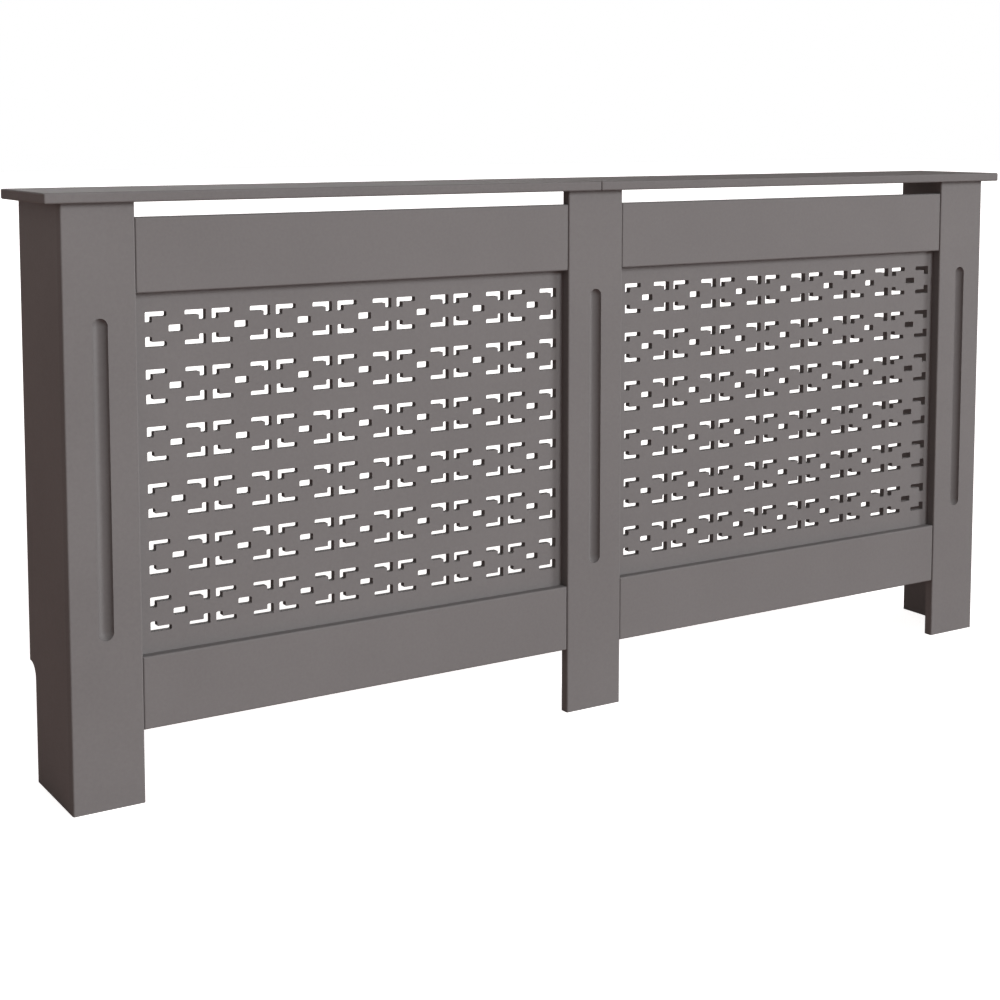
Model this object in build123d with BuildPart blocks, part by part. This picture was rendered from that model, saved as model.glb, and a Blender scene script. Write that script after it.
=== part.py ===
from build123d import *
import os

# Radiator cover cabinet: a flat-pack cover of painted boards that stands against a wall over a radiator.
# Millimetres. +X runs to the right along the front, +Y from the front to the wall, +Z up from the floor.
# The origin is on the floor, below the middle of the lid.

os.makedirs("parts", exist_ok=True)

# ---- Driving dimensions -------------------------------------------------------------------------------

lid_length = 1720.0
lid_depth = 189.0
lid_thickness = 14.0
lid_front_overhang = 12.0

carcass_width = 1668.0
carcass_height = 808.5
carcass_shift = -2.3  # the carcass stands this far to the left of the lid's middle

stile_width = 100.0
stile_thickness = 15.0
edge_radius = 2.5  # of every front edge, of the lid, and of the side panels' free edges

flute_width = 21.0
flute_depth = 8.5
flute_bottom = 230.0
flute_top = 658.0

rail_height = 100.0
rail_thickness = 14.0
bottom_rail_bottom = 99.5
top_rail_bottom = 688.0

side_thickness = 16.0
notch_depth = 25.0
notch_height = 166.0
notch_radius = 20.0

grille_thickness = 10.0
grille_overlap = 50.0  # the grille laps this far over the rails, top and bottom
grille_side_overlap = 30.0
grille_shift = 2.2  # both grilles are fixed this far to the right of the middle of their bay
unit_columns = 7
unit_rows = 6
unit_pitch_x = 94.8
unit_pitch_z = 77.2
unit_width = 86.1
unit_height = 47.5
pattern_middle_z = 444.5
arm_length = 30.2
arm_height = 7.0
leg_length = 14.3
leg_width = 9.7
slot_end_radius = 2.0
slot_outer_radius = 1.5
slot_inner_radius = 1.0
short_slot_width = 20.1
short_slot_height = 9.8

dowel_radius = 4.0
rail_dowel_radius = 3.0
rail_dowel_length = 30.0
board_dowel_length = 28.0
dowel_shallow_end = 9.0  # the length of a board dowel that enters the thinner board
dowel_chamfer = 0.8
hole_clearance = 0.05  # on the radius
hole_spare_depth = 0.5
rail_dowel_spread = 30.0  # from the middle of a rail, up and down
lid_dowel_spread = 25.0  # from the middle of a side stile
centre_lid_dowel_spread = 22.0

cam_radius = 7.5
cam_height = 12.5
cam_chamfer = 0.5
cam_distance = 34.0  # from the joint to the middle of the cam
cam_slot_width = 7.4
bolt_thread_radius = 2.5
bolt_thread_length = 10.5
bolt_collar_radius = 3.7
bolt_collar_length = 2.0
bolt_neck_radius = 2.2
bolt_head_radius = 3.3
bolt_head_length = 4.0
bolt_end_chamfer = 1.0
bolt_bore_radius = 4.0
driver_slot_width = 1.6
driver_slot_length = 9.0
driver_slot_depth = 2.0

screw_radius = 2.0
screw_head_radius = 4.0
screw_head_height = 2.4
screw_head_rim = 1.0  # the straight side of a pan head, below its dome
screw_recess_width = 1.0
screw_recess_length = 4.4
screw_recess_depth = 1.4
grille_screw_bite = 8.0
screw_point_length = 3.0
screw_point_radius = 0.4

plate_length = 90.0
plate_width = 30.0
plate_thickness = 2.0
plate_corner_radius = 4.0
plate_inner_screw_x = 14.0  # from the seam
plate_outer_screw_x = 36.0
plate_screw_stagger = 4.0  # of each screw, to one side of the plate's middle
plate_screw_bite = 10.0
countersink_radius = 3.7

bracket_leg = 36.0
bracket_wall_leg = 35.0
bracket_width = 20.0
bracket_thickness = 2.0
bracket_middle_z = 745.0
bracket_bend_radius = 2.5
bracket_screw_inset = 8.0  # from the end of the leg
bracket_screw_pitch = 16.0
bracket_screw_bite = 11.0
wall_hole_radius = 2.75

# ---- Places worked out from them ----------------------------------------------------------------------

front_y = -lid_depth / 2 + lid_front_overhang
wall_y = lid_depth / 2
stile_back_y = front_y + stile_thickness
rail_front_y = stile_back_y - rail_thickness
rail_dowel_y = rail_front_y + rail_thickness / 2
grille_back_y = stile_back_y + grille_thickness

left_edge = carcass_shift - carcass_width / 2
right_edge = carcass_shift + carcass_width / 2
left_stile_x = left_edge + stile_width / 2
right_stile_x = right_edge - stile_width / 2
stile_pitch = right_stile_x - carcass_shift
bay_width = stile_pitch - stile_width
bay_middles = {"left": carcass_shift - stile_pitch / 2, "right": carcass_shift + stile_pitch / 2}
side_middles = {"left": left_edge + side_thickness / 2, "right": right_edge - side_thickness / 2}
side_outward = {"left": -1, "right": 1}

flute_radius = ((flute_width / 2) ** 2 + flute_depth**2) / (2 * flute_depth)
flute_axis_y = front_y + flute_depth - flute_radius
flute_middle_z = (flute_bottom + flute_top) / 2
flute_straight = flute_top - flute_bottom - flute_width

rail_middles = {"bottom": bottom_rail_bottom + rail_height / 2, "top": top_rail_bottom + rail_height / 2}
side_dowel_heights = [80.0, 300.0, 520.0, 740.0]
side_cam_heights = [200.0, 410.0, 630.0]
lid_cam_ys = [front_y + 60.0, front_y + 110.0]
side_lid_dowel_y = front_y + 145.0
grille_bottom = bottom_rail_bottom + rail_height - grille_overlap
grille_top = top_rail_bottom + grille_overlap
grille_screw_row_heights = [grille_bottom + grille_overlap / 2, grille_top - grille_overlap / 2]
grille_screw_row_offsets = [-270.0, -90.0, 90.0, 270.0]
grille_screw_side_heights = [310.0, 575.0]
grille_screw_side_inset = 12.0  # from the stile's edge
plate_ys = [front_y + 60.0, front_y + 140.0]


# ---- Helpers ------------------------------------------------------------------------------------------


def save(part, label):
    """Name a finished piece and write its STEP file."""
    part.label = label
    export_step(part, f"parts/{label}.step")


def facing(x, y, z, direction):
    """A plane at a point, whose normal looks along the given direction."""
    return Plane(origin=(x, y, z), z_dir=direction)


def front_view(x, y, z):
    """A plane at a point, seen from the front: its x to the right, its y up."""
    return Plane(origin=(x, y, z), x_dir=(1, 0, 0), z_dir=(0, -1, 0))


# ---- Places of the fastenings, each a plane in the joint, looking out of the drilled board ------------


def rail_end_planes(rail, edge_x, outward):
    """Where the two dowels of one rail end cross the joint, looking along +X or -X."""
    heights = [rail_middles[rail] - rail_dowel_spread, rail_middles[rail] + rail_dowel_spread]
    return [facing(edge_x, rail_dowel_y, height, (outward, 0, 0)) for height in heights]


def stile_rail_planes(edge_x, outward):
    """The four dowel places in one edge of a stile."""
    return rail_end_planes("bottom", edge_x, outward) + rail_end_planes("top", edge_x, outward)


def side_dowel_planes(side, toward_wall):
    """The dowel places between a side stile and its side panel."""
    x = side_middles[side]
    return [facing(x, stile_back_y, height, (0, toward_wall, 0)) for height in side_dowel_heights]


def side_cam_planes(side, toward_wall):
    """The cam bolt places between a side stile and its side panel."""
    x = side_middles[side]
    return [facing(x, stile_back_y, height, (0, toward_wall, 0)) for height in side_cam_heights]


def lid_plane(x, y, upward):
    """A place on the joint between the lid and what carries it."""
    return facing(x, y, carcass_height, (0, 0, upward))


def lid_cam_planes(side, upward):
    """The cam bolt places between a side panel and the lid."""
    return [lid_plane(side_middles[side], y, upward) for y in lid_cam_ys]


def stile_lid_planes(stile_x, spread, upward):
    """The two dowel places in the top of a stile."""
    y = front_y + stile_thickness / 2
    return [lid_plane(stile_x - spread, y, upward), lid_plane(stile_x + spread, y, upward)]


def cam_planes(side):
    """The middle of each cam's outer face, looking into the cabinet, its x along the bolt's way in."""
    inner_x = side_middles[side] - side_outward[side] * side_thickness / 2
    inward = (-side_outward[side], 0, 0)
    planes = []
    for height in side_cam_heights:
        origin = (inner_x, stile_back_y + cam_distance, height)
        planes.append(Plane(origin=origin, x_dir=(0, -1, 0), z_dir=inward))
    for y in lid_cam_ys:
        origin = (inner_x, y, carcass_height - cam_distance)
        planes.append(Plane(origin=origin, x_dir=(0, 0, 1), z_dir=inward))
    return planes


def grille_screw_points(bay_middle):
    """The x and z of the screws round one grille."""
    points = []
    for height in grille_screw_row_heights:
        points += [(bay_middle + offset, height) for offset in grille_screw_row_offsets]
    reach = bay_width / 2 + grille_screw_side_inset
    for height in grille_screw_side_heights:
        points += [(bay_middle - reach, height), (bay_middle + reach, height)]
    return points


def grille_screw_planes(y, bay_middle):
    """The grille screw places in the plane y, looking towards the wall."""
    return [facing(x, y, z, (0, 1, 0)) for x, z in grille_screw_points(bay_middle)]


def stile_screw_planes(stile_x):
    """The grille screw places that fall within one stile's back."""
    planes = []
    for bay_middle in bay_middles.values():
        for x, z in grille_screw_points(bay_middle):
            if abs(x - stile_x) < stile_width / 2:
                planes.append(facing(x, stile_back_y, z, (0, 1, 0)))
    return planes


def plate_screw_planes(z, upward, ends=(-1, 1)):
    """The screw places of the joining plates, at height z; ends picks the lid halves."""
    planes = []
    for plate_y in plate_ys:
        for end in ends:
            stagger = end * plate_screw_stagger
            inner_point = (end * plate_inner_screw_x, plate_y - stagger, z)
            outer_point = (end * plate_outer_screw_x, plate_y + stagger, z)
            planes += [facing(*point, (0, 0, upward)) for point in (inner_point, outer_point)]
    return planes


def bracket_screw_planes(side):
    """The two screw places in a wall bracket's side leg, on the panel's inner face."""
    inner_x = side_middles[side] - side_outward[side] * side_thickness / 2
    inward = (-side_outward[side], 0, 0)
    first_y = wall_y - bracket_leg + bracket_screw_inset
    return [facing(inner_x, y, bracket_middle_z, inward) for y in (first_y, first_y + bracket_screw_pitch)]


def drill(planes, radius, depth):
    """Drill one round hole at each plane, into the board behind it."""
    with Locations(*planes):
        Hole(radius=radius + hole_clearance, depth=depth + hole_spare_depth)


# ---- Stiles -------------------------------------------------------------------------------------------


def make_stile(label, stile_x, side=None):
    """An upright front board with its flute; side names the outer edge of a side stile."""
    half = stile_width / 2
    edges = [(1, "right"), (-1, "left")]
    with BuildPart() as stile:
        with BuildSketch(Plane(origin=(stile_x, front_y, 0))):
            Rectangle(stile_width, stile_thickness, align=(Align.CENTER, Align.MIN))
        extrude(amount=carcass_height)
        front_edges = stile.faces().sort_by(Axis.Y)[0].edges().filter_by(Axis.Z)
        fillet(front_edges, radius=edge_radius)

        # The flute: a round-nosed cutter run down the middle of the face.
        with Locations((stile_x, flute_axis_y, flute_middle_z)):
            Cylinder(radius=flute_radius, height=flute_straight, mode=Mode.SUBTRACT)
        with Locations(
            (stile_x, flute_axis_y, flute_middle_z - flute_straight / 2),
            (stile_x, flute_axis_y, flute_middle_z + flute_straight / 2),
        ):
            Sphere(radius=flute_radius, mode=Mode.SUBTRACT)

        # Dowel holes for the rails, in every edge that faces a bay.
        for outward, name in edges:
            if name != side:
                planes = stile_rail_planes(stile_x + outward * half, outward)
                drill(planes, rail_dowel_radius, rail_dowel_length / 2)
        drill(stile_screw_planes(stile_x), screw_radius, grille_screw_bite)
        spread = lid_dowel_spread if side else centre_lid_dowel_spread
        drill(
            stile_lid_planes(stile_x, spread, 1),
            dowel_radius,
            board_dowel_length - dowel_shallow_end,
        )

        if side:
            # Dowel and bolt holes for the side panel that butts against the stile's back.
            drill(side_dowel_planes(side, 1), dowel_radius, dowel_shallow_end)
            drill(side_cam_planes(side, 1), bolt_thread_radius, bolt_thread_length)
    save(stile.part, label)


make_stile("left_stile", left_stile_x, side="left")
make_stile("centre_stile", carcass_shift)
make_stile("right_stile", right_stile_x, side="right")


# ---- Rails --------------------------------------------------------------------------------------------


def make_rail(rail, bay):
    """A plain cross board between two stiles, flush with their backs."""
    middle_x = bay_middles[bay]
    with BuildPart() as board:
        with BuildSketch(front_view(middle_x, rail_front_y, rail_middles[rail])):
            Rectangle(bay_width, rail_height)
        extrude(amount=-rail_thickness)
        fillet(board.faces().sort_by(Axis.Y)[0].edges(), radius=edge_radius)
        for outward in (-1, 1):
            planes = rail_end_planes(rail, middle_x + outward * bay_width / 2, outward)
            drill(planes, rail_dowel_radius, rail_dowel_length / 2)
        screw_planes = [
            facing(x, stile_back_y, z, (0, 1, 0))
            for x, z in grille_screw_points(middle_x)
            if abs(z - rail_middles[rail]) < rail_height / 2
        ]
        drill(screw_planes, screw_radius, grille_screw_bite)
    save(board.part, f"{rail}_rail_{bay}")


for rail_name in rail_middles:
    for bay_name in bay_middles:
        make_rail(rail_name, bay_name)


# ---- Grilles ------------------------------------------------------------------------------------------


def corner_slot(right, up):
    """An L-shaped slot in one corner of a unit; right and up are +1 or -1 towards that corner."""
    corner_x = right * unit_width / 2
    corner_z = up * unit_height / 2
    arm_x = corner_x - right * arm_length
    leg_x = corner_x - right * leg_width
    arm_z = corner_z - up * arm_height
    leg_z = corner_z - up * leg_length
    with BuildSketch() as slot:
        with BuildLine():
            Polyline(
                (corner_x, corner_z),
                (arm_x, corner_z),
                (arm_x, arm_z),
                (leg_x, arm_z),
                (leg_x, leg_z),
                (corner_x, leg_z),
                close=True,
            )
        make_face()
        end_corners = [(arm_x, corner_z), (arm_x, arm_z), (leg_x, leg_z), (corner_x, leg_z)]
        for spots, radius in (
            (end_corners, slot_end_radius),
            ([(corner_x, corner_z)], slot_outer_radius),
            ([(leg_x, arm_z)], slot_inner_radius),
        ):
            for spot in spots:
                fillet(slot.vertices().sort_by_distance((*spot, 0))[0], radius=radius)
    return slot.sketch


def slot_unit():
    """Four corner slots round one short slot."""
    with BuildSketch() as unit:
        for right in (-1, 1):
            for up in (-1, 1):
                add(corner_slot(right, up))
        RectangleRounded(short_slot_width, short_slot_height, slot_end_radius)
    return unit.sketch


def make_grille(bay, unit):
    """A pierced board that laps over the backs of the rails and stiles round one bay."""
    middle_x = bay_middles[bay] + grille_shift
    face_plane = front_view(middle_x, stile_back_y, pattern_middle_z)
    board_middle = (0, (grille_bottom + grille_top) / 2 - pattern_middle_z)
    with BuildPart() as grille:
        with BuildSketch(face_plane):
            with Locations(board_middle):
                Rectangle(bay_width + 2 * grille_side_overlap, grille_top - grille_bottom)
            with GridLocations(unit_pitch_x, unit_pitch_z, unit_columns, unit_rows):
                add(unit, mode=Mode.SUBTRACT)
        extrude(amount=-grille_thickness)
        drill(grille_screw_planes(grille_back_y, bay_middles[bay]), screw_radius, grille_thickness)
    save(grille.part, f"grille_{bay}")


pierced_unit = slot_unit()
for bay_name in bay_middles:
    make_grille(bay_name, pierced_unit)


# ---- Side panels --------------------------------------------------------------------------------------


def make_side_panel(side):
    """An end board behind a side stile, notched at the rear bottom corner to clear a skirting board."""
    middle_x = side_middles[side]
    outward = side_outward[side]
    notch_y = wall_y - notch_depth
    with BuildPart() as panel:
        with BuildSketch(Plane.YZ.offset(middle_x - side_thickness / 2)) as outline:
            with BuildLine():
                Polyline(
                    (stile_back_y, 0),
                    (notch_y, 0),
                    (notch_y, notch_height),
                    (wall_y, notch_height),
                    (wall_y, carcass_height),
                    (stile_back_y, carcass_height),
                    close=True,
                )
            make_face()
            notch_corner = outline.vertices().sort_by_distance((notch_y, notch_height, 0))[0]
            fillet(notch_corner, radius=notch_radius)
        extrude(amount=side_thickness)
        outer_face = panel.faces().sort_by(Axis.X)[0 if outward < 0 else -1]
        upright_edges = outer_face.edges().sort_by(Axis.Z)[1:-1]  # all but the bottom and the top one
        fillet(upright_edges.sort_by(Axis.Y)[1:], radius=edge_radius)

        deep_end = board_dowel_length - dowel_shallow_end
        drill(side_dowel_planes(side, -1), dowel_radius, deep_end)
        drill([lid_plane(middle_x, side_lid_dowel_y, 1)], dowel_radius, deep_end)
        drill(side_cam_planes(side, -1), bolt_bore_radius, cam_distance)
        drill(lid_cam_planes(side, 1), bolt_bore_radius, cam_distance)
        drill(cam_planes(side), cam_radius, cam_height)
        drill(bracket_screw_planes(side), screw_radius, bracket_screw_bite)
    save(panel.part, f"{side}_side_panel")


for side_name in side_middles:
    make_side_panel(side_name)


# ---- Lid ----------------------------------------------------------------------------------------------


def make_lid(side):
    """One half of the top; the halves butt over the centre stile."""
    outward = side_outward[side]
    stile_x = left_stile_x if side == "left" else right_stile_x
    with BuildPart() as lid:
        with BuildSketch(Plane(origin=(outward * lid_length / 4, 0, carcass_height))):
            Rectangle(lid_length / 2, lid_depth)
        extrude(amount=lid_thickness)
        fillet(lid.edges(), radius=edge_radius)

        dowel_planes = stile_lid_planes(stile_x, lid_dowel_spread, -1)
        dowel_planes.append(lid_plane(side_middles[side], side_lid_dowel_y, -1))
        centre_planes = stile_lid_planes(carcass_shift, centre_lid_dowel_spread, -1)
        dowel_planes.append(centre_planes[0 if side == "left" else 1])
        drill(dowel_planes, dowel_radius, dowel_shallow_end)
        drill(lid_cam_planes(side, -1), bolt_thread_radius, bolt_thread_length)
        screw_planes = plate_screw_planes(carcass_height, -1, ends=(outward,))
        drill(screw_planes, screw_radius, plate_screw_bite)
    save(lid.part, f"lid_{side}")


for side_name in side_middles:
    make_lid(side_name)


# ---- Dowels -------------------------------------------------------------------------------------------


def make_dowel(radius, length, start):
    """A dowel with chamfered ends, standing along +Z from the height start."""
    with BuildPart() as dowel:
        with Locations((0, 0, start)):
            Cylinder(radius, length, align=(Align.CENTER, Align.CENTER, Align.MIN))
        chamfer(dowel.edges().filter_by(GeomType.CIRCLE), length=dowel_chamfer)
    return dowel.part


rail_dowel = make_dowel(rail_dowel_radius, rail_dowel_length, -rail_dowel_length / 2)
board_dowel = make_dowel(dowel_radius, board_dowel_length, -dowel_shallow_end)

with BuildPart() as rail_dowels:
    for bay_middle in bay_middles.values():
        for end in (-1, 1):
            with Locations(*stile_rail_planes(bay_middle + end * bay_width / 2, end)):
                add(rail_dowel)
save(rail_dowels.part, "rail_dowels")

with BuildPart() as side_dowels:
    for side_name in side_middles:
        with Locations(*side_dowel_planes(side_name, 1)):
            add(board_dowel)
save(side_dowels.part, "side_dowels")

lid_dowel_planes = stile_lid_planes(left_stile_x, lid_dowel_spread, -1)
lid_dowel_planes += stile_lid_planes(carcass_shift, centre_lid_dowel_spread, -1)
lid_dowel_planes += stile_lid_planes(right_stile_x, lid_dowel_spread, -1)
lid_dowel_planes += [lid_plane(x, side_lid_dowel_y, -1) for x in side_middles.values()]
with BuildPart() as lid_dowels:
    with Locations(*lid_dowel_planes):
        add(board_dowel)
save(lid_dowels.part, "lid_dowels")


# ---- Cam fittings -------------------------------------------------------------------------------------

# A bolt stands on its own origin: the thread below, the neck and head above.
bolt_top = cam_distance + bolt_head_length / 2
with BuildPart() as bolt:
    with BuildSketch(Plane.XZ):
        with BuildLine():
            Polyline(
                (0, -bolt_thread_length),
                (bolt_thread_radius - bolt_end_chamfer, -bolt_thread_length),
                (bolt_thread_radius, bolt_end_chamfer - bolt_thread_length),
                (bolt_thread_radius, 0),
                (bolt_collar_radius, 0),
                (bolt_collar_radius, bolt_collar_length),
                (bolt_neck_radius, bolt_collar_length),
                (bolt_neck_radius, bolt_top - bolt_head_length),
                (bolt_head_radius, bolt_top - bolt_head_length),
                (bolt_head_radius, bolt_top - bolt_end_chamfer),
                (bolt_head_radius - bolt_end_chamfer, bolt_top),
                (0, bolt_top),
                close=True,
            )
        make_face()
    revolve(axis=Axis.Z)

with BuildPart() as cam_bolts:
    for side_name in side_middles:
        with Locations(*side_cam_planes(side_name, 1), *lid_cam_planes(side_name, -1)):
            add(bolt.part)
save(cam_bolts.part, "cam_bolts")


def make_cam():
    """A cam with its outer face on the origin, a cross for the driver and a way in for the bolt."""
    with BuildPart() as cam:
        with Locations((0, 0, -cam_height)):
            Cylinder(cam_radius, cam_height, align=(Align.CENTER, Align.CENTER, Align.MIN))
        chamfer(cam.edges().filter_by(GeomType.CIRCLE), length=cam_chamfer)
        bolt_axis_z = -side_thickness / 2
        with Locations((0, 0, bolt_axis_z)):
            Box(
                2 * cam_radius,
                cam_slot_width,
                cam_slot_width,
                align=(Align.MIN, Align.CENTER, Align.CENTER),
                mode=Mode.SUBTRACT,
            )
            Cylinder(cam_slot_width / 2, cam_slot_width, mode=Mode.SUBTRACT)
        for turn in (0, 90):
            with Locations(Location((0, 0, 0), (0, 0, turn))):
                Box(driver_slot_length, driver_slot_width, 2 * driver_slot_depth, mode=Mode.SUBTRACT)
    return cam.part


cam = make_cam()
with BuildPart() as cam_nuts:
    for side_name in side_middles:
        with Locations(*cam_planes(side_name)):
            add(cam)
save(cam_nuts.part, "cam_nuts")


# ---- Screws -------------------------------------------------------------------------------------------


def make_pan_screw(length):
    """A pan head screw: the head stands on the origin's plane, the shank goes down from it."""
    with BuildPart() as screw:
        with BuildSketch(Plane.XZ):
            with BuildLine():
                Polyline(
                    (0, screw_head_height),
                    (0, -length),
                    (screw_point_radius, -length),
                    (screw_radius, screw_point_length - length),
                    (screw_radius, 0),
                    (screw_head_radius, 0),
                    (screw_head_radius, screw_head_rim),
                )
                dome_end = (screw_head_radius, screw_head_rim)
                TangentArc((0, screw_head_height), dome_end, tangent=(1, 0))
            make_face()
        revolve(axis=Axis.Z)
        cut_cross_recess(screw_head_height)
    return screw.part


def cut_cross_recess(top_z):
    """The crossed driver recess in the top of a screw head."""
    for turn in (0, 90):
        with Locations(Location((0, 0, top_z), (0, 0, turn))):
            Box(screw_recess_length, screw_recess_width, 2 * screw_recess_depth, mode=Mode.SUBTRACT)


grille_screw = make_pan_screw(grille_thickness + grille_screw_bite)
with BuildPart() as grille_screws:
    for bay_middle in bay_middles.values():
        with Locations(*grille_screw_planes(grille_back_y, bay_middle)):
            add(grille_screw)
save(grille_screws.part, "grille_screws")

bracket_screw = make_pan_screw(bracket_thickness + bracket_screw_bite)
with BuildPart() as wall_bracket_screws:
    for side_name in side_middles:
        for plane in bracket_screw_planes(side_name):
            with Locations(plane.offset(bracket_thickness)):
                add(bracket_screw)
save(wall_bracket_screws.part, "wall_bracket_screws")


# ---- Joining plates under the lid's seam --------------------------------------------------------------

plate_bottom = carcass_height - plate_thickness
countersink_depth = countersink_radius - screw_radius

with BuildPart() as lid_joining_plates:
    with BuildSketch(Plane.XY.offset(plate_bottom)):
        with Locations(*[(0, y) for y in plate_ys]):
            RectangleRounded(plate_length, plate_width, plate_corner_radius)
    extrude(amount=plate_thickness)
    with Locations(*plate_screw_planes(plate_bottom, -1)):
        CounterSinkHole(
            radius=screw_radius + hole_clearance,
            counter_sink_radius=countersink_radius + hole_clearance,
            depth=plate_thickness,
            counter_sink_angle=90,
        )
save(lid_joining_plates.part, "lid_joining_plates")

with BuildPart() as flat_screw:
    flat_screw_length = plate_thickness + plate_screw_bite
    with BuildSketch(Plane.XZ):
        with BuildLine():
            Polyline(
                (0, 0),
                (0, -flat_screw_length),
                (screw_point_radius, -flat_screw_length),
                (screw_radius, screw_point_length - flat_screw_length),
                (screw_radius, -countersink_depth),
                (countersink_radius, 0),
                close=True,
            )
        make_face()
    revolve(axis=Axis.Z)
    cut_cross_recess(0)

with BuildPart() as plate_screws:
    with Locations(*plate_screw_planes(plate_bottom, -1)):
        add(flat_screw.part)
save(plate_screws.part, "plate_screws")


# ---- Wall brackets ------------------------------------------------------------------------------------


def make_wall_bracket(side):
    """A bent steel angle: one leg on the side panel, the other in the plane of the wall."""
    outward = side_outward[side]
    corner_x = side_middles[side] - outward * side_thickness / 2
    inner_x = corner_x - outward * bracket_thickness
    end_x = corner_x - outward * bracket_wall_leg
    bracket_bottom = bracket_middle_z - bracket_width / 2
    with BuildPart() as bracket:
        with BuildSketch(Plane.XY.offset(bracket_bottom)) as profile:
            with BuildLine():
                Polyline(
                    (corner_x, wall_y - bracket_leg),
                    (corner_x, wall_y),
                    (end_x, wall_y),
                    (end_x, wall_y - bracket_thickness),
                    (inner_x, wall_y - bracket_thickness),
                    (inner_x, wall_y - bracket_leg),
                    close=True,
                )
            make_face()
            outer_bend = profile.vertices().sort_by_distance((corner_x, wall_y, 0))[0]
            fillet(outer_bend, radius=bracket_bend_radius)
        extrude(amount=bracket_width)
        drill(bracket_screw_planes(side), screw_radius, bracket_thickness)
        wall_hole_x = corner_x - outward * bracket_wall_leg / 2
        with Locations(facing(wall_hole_x, wall_y, bracket_middle_z, (0, 1, 0))):
            Hole(radius=wall_hole_radius, depth=2 * bracket_thickness)
    save(bracket.part, f"wall_bracket_{side}")


for side_name in side_middles:
    make_wall_bracket(side_name)
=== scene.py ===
import math

import bpy
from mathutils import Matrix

# Radiator cover cabinet of painted fibreboard, on a white studio floor. Metres, in the frame of the CAD
# model: +X to the right along the front, +Y towards the wall, +Z up. The origin is on the floor, below the
# middle of the lid.

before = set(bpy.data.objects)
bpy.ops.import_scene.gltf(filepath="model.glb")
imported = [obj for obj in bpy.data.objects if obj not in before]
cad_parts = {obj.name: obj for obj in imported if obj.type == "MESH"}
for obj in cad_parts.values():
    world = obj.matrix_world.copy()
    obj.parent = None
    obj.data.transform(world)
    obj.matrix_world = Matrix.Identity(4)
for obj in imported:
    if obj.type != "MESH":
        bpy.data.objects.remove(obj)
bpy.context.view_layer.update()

# ---- Camera -------------------------------------------------------------------------------------------

camera_place = (-1.5472, -2.2825, 0.9103)
camera_yaw = 31.956  # degrees to the right of +Y
camera_pitch = 5.345  # degrees below the horizon
camera_lens = 63.4  # mm
camera_sensor = 36.0  # mm
camera_shift = -0.212  # of the picture's width

# ---- Light --------------------------------------------------------------------------------------------

# Each light: degrees to the right of the front, degrees above the floor, strength, and width in degrees.
lights = {
    "high_light": (20.0, 25.0, 1.9, 22.0),
    "low_light": (54.0, 4.0, 1.9, 17.0),
    "rear_light": (165.0, 4.0, 0.65, 40.0),
    "back_light": (176.0, 4.0, 0.9, 16.0),
    "left_light": (-80.0, 10.0, 0.08, 40.0),
}
surround_colour = (0.32, 0.275, 0.257)  # what the studio's walls give back
backdrop_colour = (0.50, 0.48, 0.46)
backdrop_across = (0.70, 0.98)  # it grows to full strength as a direction turns this far towards the wall
backdrop_up = (0.45, 0.25)  # and as it comes down to this height
floor_bounce_colour = (0.54, 0.40, 0.37)  # the floor as it lights the object
floor_colour = (0.95, 0.95, 0.95)  # the floor as the camera sees it
floor_glow = 0.82  # lifts it to the white of the backdrop
floor_size = 60.0

# ---- Paint --------------------------------------------------------------------------------------------

# Scales are in features per metre. A pair is the low and the high end of what a noise drives.
paint_dark = (0.147, 0.1425, 0.1445)
paint_light = (0.1685, 0.164, 0.166)
paint_gloss = 0.13
paint_roughness = (0.59, 0.64)
roughness_scale = 40.0
cloud_scale = 5.0
cloud_strength = (0.25, 0.75)
mottle_scale = 260.0
mottle_strength = (-0.22, 0.22)

# Where the board's core took up the paint, on every face but the two broad ones.
fibre_scale = 900.0
cut_roughness = (0.66, 0.78)
cut_shade = (0.93, 1.03)
broad_face = (0.85, 0.97)  # the cosine to the board's axis, from a cut face to a broad one

peel_scale = 420.0
peel_height = 0.00005
grain_scale = 2200.0
grain_height = 0.00002

# ---- Fittings -----------------------------------------------------------------------------------------

plate_colour = (0.62, 0.63, 0.66)
plate_roughness = (0.26, 0.42)
plate_scratch = (0.12, 1.0, 1.0)  # drawn out along X
screw_colour = (0.58, 0.58, 0.6)
screw_roughness = (0.3, 0.5)
film_scale = 90.0
film_distortion = 0.6
film_shade = 0.78
scratch_scale = 1500.0
scratch_height = 0.00002

zinc_dark = (0.3, 0.3, 0.31)
zinc_light = (0.5, 0.5, 0.51)
zinc_roughness = (0.62, 0.42)
pit_scale = 1100.0
pit_height = 0.00006

wood_dark = (0.38, 0.24, 0.12)
wood_light = (0.6, 0.42, 0.25)
wood_roughness = (0.75, 0.6)
wood_scale = 300.0
wood_stretch = 0.15  # the grain is drawn out along the dowel by one over this
wood_distortion = 0.4
wood_height = 0.0001


# ---- Materials ----------------------------------------------------------------------------------------

black = (0.0, 0.0, 0.0)
white = (1.0, 1.0, 1.0)
even = (1.0, 1.0, 1.0)  # no stretch along any axis


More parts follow.
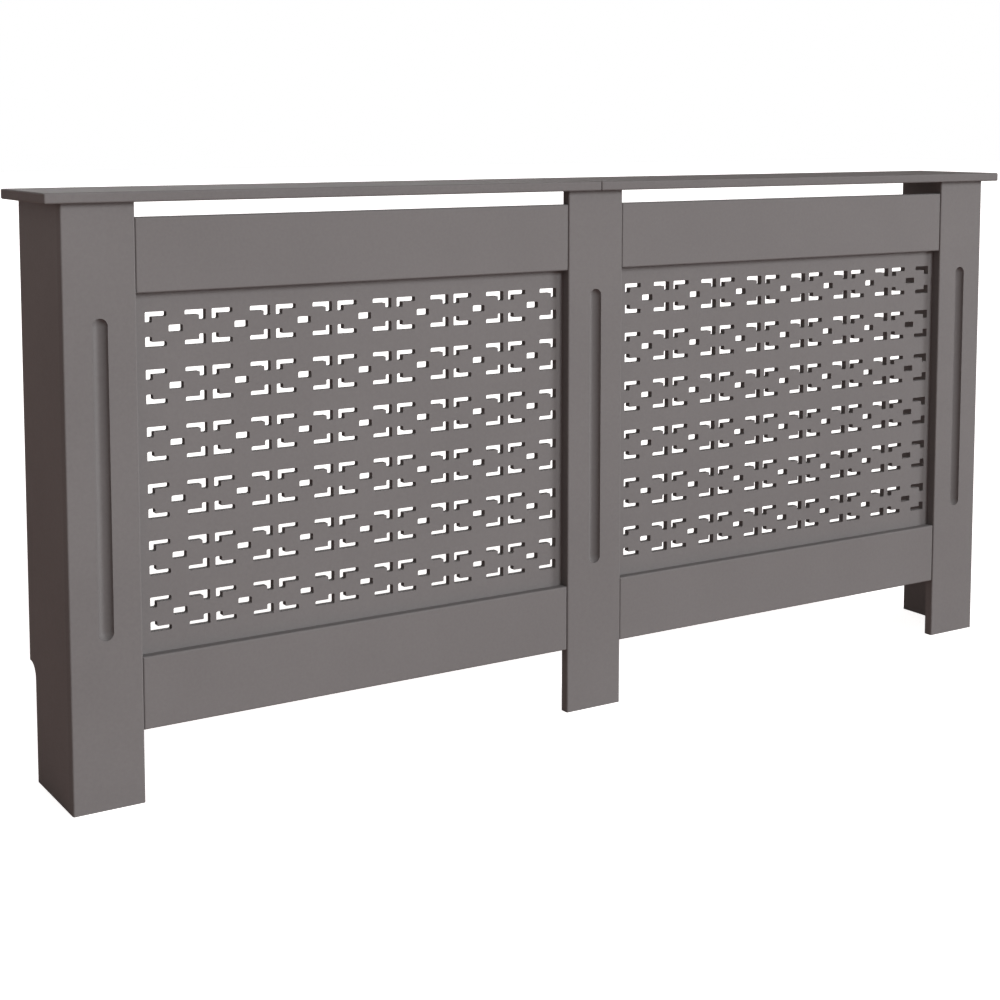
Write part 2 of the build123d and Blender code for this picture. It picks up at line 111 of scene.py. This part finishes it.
class Surface:
    """A material with a Principled shader, and short calls for the nodes that drive it."""

    def __init__(self, name):
        self.material = bpy.data.materials.new(name)
        self.material.use_nodes = True
        tree = self.material.node_tree
        self.nodes = tree.nodes
        self.links = tree.links
        self.shader = tree.nodes["Principled BSDF"]
        self.place = self.nodes.new("ShaderNodeTexCoord").outputs["Object"]

    def link(self, output, socket):
        self.links.new(output, socket)

    def feed(self, socket, value):
        """Set a socket to a plain value, or link another node's output to it."""
        if isinstance(value, bpy.types.NodeSocket):
            self.link(value, socket)
        else:
            socket.default_value = value

    def noise(self, scale, detail=2.0, stretch=even, distortion=0.0):
        """Smooth noise from 0 to 1; a number below 1 in stretch draws it out along that axis."""
        mapping = self.nodes.new("ShaderNodeMapping")
        mapping.inputs["Scale"].default_value = stretch
        self.link(self.place, mapping.inputs["Vector"])
        texture = self.nodes.new("ShaderNodeTexNoise")
        texture.inputs["Scale"].default_value = scale
        texture.inputs["Detail"].default_value = detail
        texture.inputs["Distortion"].default_value = distortion
        self.link(mapping.outputs["Vector"], texture.inputs["Vector"])
        return texture.outputs["Fac"]

    def spread(self, value, low, high, from_low=0.3, from_high=0.7):
        """The value, moved to another range and held inside it; noise is mostly from 0.3 to 0.7."""
        node = self.nodes.new("ShaderNodeMapRange")
        self.link(value, node.inputs["Value"])
        node.inputs["From Min"].default_value = from_low
        node.inputs["From Max"].default_value = from_high
        self.feed(node.inputs["To Min"], low)
        self.feed(node.inputs["To Max"], high)
        return node.outputs["Result"]

    def math(self, operation, first, second=0.0):
        node = self.nodes.new("ShaderNodeMath")
        node.operation = operation
        self.feed(node.inputs[0], first)
        self.feed(node.inputs[1], second)
        return node.outputs["Value"]

    def mix(self, factor, first, second, blend="MIX"):
        """A colour between two colours."""
        node = self.nodes.new("ShaderNodeMix")
        node.data_type = "RGBA"
        node.blend_type = blend
        sockets = [s for s in node.inputs if s.type == "RGBA"]
        self.feed(node.inputs["Factor"], factor)
        for socket, colour in zip(sockets, (first, second)):
            self.feed(socket, colour if isinstance(colour, bpy.types.NodeSocket) else (*colour, 1.0))
        return next(s for s in node.outputs if s.type == "RGBA")

    def bump(self, height, distance, normal=None):
        node = self.nodes.new("ShaderNodeBump")
        node.inputs["Distance"].default_value = distance
        self.link(height, node.inputs["Height"])
        if normal is not None:
            self.link(normal, node.inputs["Normal"])
        return node.outputs["Normal"]

    def facing_away(self, axis):
        """1 where the surface doesn't face along the axis, and 0 where it does."""
        geometry = self.nodes.new("ShaderNodeNewGeometry")
        product = self.nodes.new("ShaderNodeVectorMath")
        product.operation = "DOT_PRODUCT"
        self.link(geometry.outputs["True Normal"], product.inputs[0])
        product.inputs[1].default_value = axis
        along = self.math("ABSOLUTE", product.outputs["Value"])
        return self.spread(along, 1.0, 0.0, *broad_face)


def painted_board(name, broad_axis):
    """Satin spray paint on fibreboard, whose broad faces look along broad_axis."""
    surface = Surface(name)
    shader = surface.shader.inputs
    clouds = surface.spread(surface.noise(cloud_scale, detail=4.0), *cloud_strength)
    mottle = surface.spread(surface.noise(mottle_scale, detail=3.0), *mottle_strength)
    colour = surface.mix(surface.math("ADD", clouds, mottle), paint_dark, paint_light)

    cut = surface.facing_away(broad_axis)
    fibres = surface.noise(fibre_scale, detail=4.0)
    shade = surface.spread(fibres, *cut_shade)
    cut_colour = surface.mix(1.0, colour, surface.mix(shade, black, white), blend="MULTIPLY")
    surface.link(surface.mix(cut, colour, cut_colour), shader["Base Color"])

    smooth_part = surface.spread(surface.noise(roughness_scale, detail=3.0), *paint_roughness)
    rough_part = surface.spread(fibres, *cut_roughness)
    step = surface.math("SUBTRACT", rough_part, smooth_part)
    roughness = surface.math("ADD", smooth_part, surface.math("MULTIPLY", cut, step))
    surface.link(roughness, shader["Roughness"])
    shader["Specular IOR Level"].default_value = paint_gloss

    peel = surface.bump(surface.noise(peel_scale), peel_height)
    grain = surface.bump(surface.noise(grain_scale), grain_height, normal=peel)
    surface.link(grain, shader["Normal"])
    return surface.material


def bright_steel(name, colour, roughness, scratch=even):
    """Zinc-plated steel with fine scratches and a cloudy passivated film."""
    surface = Surface(name)
    shader = surface.shader.inputs
    shader["Metallic"].default_value = 1.0
    film = surface.noise(film_scale, detail=4.0, distortion=film_distortion)
    duller = tuple(film_shade * value for value in colour)
    surface.link(surface.mix(surface.spread(film, 0.0, 1.0), duller, colour), shader["Base Color"])
    lines = surface.noise(scratch_scale, stretch=scratch)
    surface.link(surface.spread(lines, *roughness), shader["Roughness"])
    surface.link(surface.bump(lines, scratch_height), shader["Normal"])
    return surface.material


def cast_zinc(name):
    """Dull grey casting, slightly pitted."""
    surface = Surface(name)
    shader = surface.shader.inputs
    shader["Metallic"].default_value = 1.0
    pits = surface.noise(pit_scale, detail=5.0)
    colour = surface.mix(surface.spread(pits, 0.0, 1.0), zinc_dark, zinc_light)
    surface.link(colour, shader["Base Color"])
    surface.link(surface.spread(pits, *zinc_roughness), shader["Roughness"])
    surface.link(surface.bump(pits, pit_height), shader["Normal"])
    return surface.material


def turned_wood(name, axis):
    """Pale hardwood with its grain along the axis of the dowel."""
    surface = Surface(name)
    shader = surface.shader.inputs
    stretch = tuple(wood_stretch if along else 1.0 for along in axis)
    grain = surface.noise(wood_scale, detail=5.0, stretch=stretch, distortion=wood_distortion)
    colour = surface.mix(surface.spread(grain, 0.0, 1.0), wood_dark, wood_light)
    surface.link(colour, shader["Base Color"])
    surface.link(surface.spread(grain, *wood_roughness), shader["Roughness"])
    surface.link(surface.bump(grain, wood_height), shader["Normal"])
    return surface.material


def dress(material, slot, *names):
    """Give the material to these CAD nodes."""
    for name in names:
        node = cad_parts[name]
        node.data.materials.clear()
        node.data.materials.append(material)


along_x, along_y, along_z = (1, 0, 0), (0, 1, 0), (0, 0, 1)

dress(painted_board("paint_stiles", along_y), "painted_board", "left_stile", "centre_stile", "right_stile")
dress(
    painted_board("paint_rails", along_y),
    "painted_board",
    "top_rail_left",
    "top_rail_right",
    "bottom_rail_left",
    "bottom_rail_right",
)
dress(painted_board("paint_grilles", along_y), "painted_grille", "grille_left", "grille_right")
dress(painted_board("paint_sides", along_x), "painted_board", "left_side_panel", "right_side_panel")
dress(painted_board("paint_lid", along_z), "painted_board", "lid_left", "lid_right")
for dowels, dowel_axis in (("rail_dowels", along_x), ("side_dowels", along_y), ("lid_dowels", along_z)):
    dress(turned_wood(f"wood_{dowels}", dowel_axis), "dowel_wood", dowels)
dress(
    bright_steel("plate_steel", plate_colour, plate_roughness, scratch=plate_scratch),
    "zinc_steel",
    "lid_joining_plates",
    "wall_bracket_left",
    "wall_bracket_right",
    "cam_bolts",
)
dress(
    bright_steel("screw_steel", screw_colour, screw_roughness),
    "screw_steel",
    "grille_screws",
    "plate_screws",
    "wall_bracket_screws",
)
dress(cast_zinc("cam_zinc"), "cam_zinc", "cam_nuts")


# ---- Studio -------------------------------------------------------------------------------------------


def seen_or_lit(tree, seen, lit):
    """A shader that is one thing to the camera and another to the light that bounces off it."""
    path = tree.nodes.new("ShaderNodeLightPath")
    mixer = tree.nodes.new("ShaderNodeMixShader")
    tree.links.new(path.outputs["Is Camera Ray"], mixer.inputs["Fac"])
    tree.links.new(lit, mixer.inputs[1])
    tree.links.new(seen, mixer.inputs[2])
    return mixer.outputs["Shader"]


def plain_shader(tree, kind, colour):
    node = tree.nodes.new(kind)
    node.inputs["Color"].default_value = (*colour, 1.0)
    return node.outputs[0]


def ramp(tree, value, ends):
    """The value, from 0 at the first of two ends to 1 at the second."""
    node = tree.nodes.new("ShaderNodeMapRange")
    tree.links.new(value, node.inputs["Value"])
    node.inputs["From Min"].default_value = ends[0]
    node.inputs["From Max"].default_value = ends[1]
    return node.outputs["Result"]


def make_floor():
    """A pale floor, bright enough to run into the white backdrop, with a faint shadow where things stand."""
    bpy.ops.mesh.primitive_plane_add(size=floor_size)
    floor = bpy.context.object
    floor.name = "studio_floor"
    material = bpy.data.materials.new("studio_floor")
    material.use_nodes = True
    tree = material.node_tree
    tree.nodes.remove(tree.nodes["Principled BSDF"])
    glow = tree.nodes.new("ShaderNodeEmission")
    glow.inputs["Strength"].default_value = floor_glow
    both = tree.nodes.new("ShaderNodeAddShader")
    tree.links.new(plain_shader(tree, "ShaderNodeBsdfDiffuse", floor_colour), both.inputs[0])
    tree.links.new(glow.outputs["Emission"], both.inputs[1])
    lit = plain_shader(tree, "ShaderNodeBsdfDiffuse", floor_bounce_colour)
    seen = both.outputs["Shader"]
    tree.links.new(seen_or_lit(tree, seen, lit), tree.nodes["Material Output"].inputs["Surface"])
    floor.data.materials.append(material)


def make_surround():
    """White to the camera; to the object, dim walls with a bright backdrop low behind it."""
    world = bpy.data.worlds.new("studio")
    bpy.context.scene.world = world
    world.use_nodes = True
    tree = world.node_tree
    tree.nodes.remove(tree.nodes["Background"])
    seen = plain_shader(tree, "ShaderNodeBackground", white)
    direction = tree.nodes.new("ShaderNodeTexCoord").outputs["Generated"]
    parts = tree.nodes.new("ShaderNodeSeparateXYZ")
    tree.links.new(direction, parts.inputs["Vector"])
    amount = tree.nodes.new("ShaderNodeMath")
    amount.operation = "MULTIPLY"
    tree.links.new(ramp(tree, parts.outputs["Y"], backdrop_across), amount.inputs[0])
    tree.links.new(ramp(tree, parts.outputs["Z"], backdrop_up), amount.inputs[1])
    colour = tree.nodes.new("ShaderNodeMix")
    colour.data_type = "RGBA"
    first, second = [s for s in colour.inputs if s.type == "RGBA"]
    first.default_value = (*surround_colour, 1.0)
    second.default_value = (*backdrop_colour, 1.0)
    tree.links.new(amount.outputs["Value"], colour.inputs["Factor"])
    lit = tree.nodes.new("ShaderNodeBackground")
    tree.links.new(next(s for s in colour.outputs if s.type == "RGBA"), lit.inputs["Color"])
    shader = seen_or_lit(tree, seen, lit.outputs["Background"])
    tree.links.new(shader, tree.nodes["World Output"].inputs["Surface"])


def make_light(name, right, above, strength, width):
    """A large, far light: its bearing from the front and the height it comes from, in degrees."""
    light = bpy.data.lights.new(name, "SUN")
    light.energy = strength
    light.angle = math.radians(width)
    lamp = bpy.data.objects.new(name, light)
    lamp.rotation_euler = (math.radians(90 - above), 0, math.radians(right))
    bpy.context.collection.objects.link(lamp)


def make_camera():
    camera = bpy.data.cameras.new("camera")
    camera.sensor_width = camera_sensor
    camera.lens = camera_lens
    camera.shift_y = camera_shift
    holder = bpy.data.objects.new("camera", camera)
    holder.location = camera_place
    holder.rotation_euler = (math.radians(90 - camera_pitch), 0, math.radians(-camera_yaw))
    bpy.context.collection.objects.link(holder)
    bpy.context.scene.camera = holder


make_floor()
make_surround()
for light_name, light_values in lights.items():
    make_light(light_name, *light_values)
make_camera()
bpy.context.scene.view_settings.view_transform = "Standard"
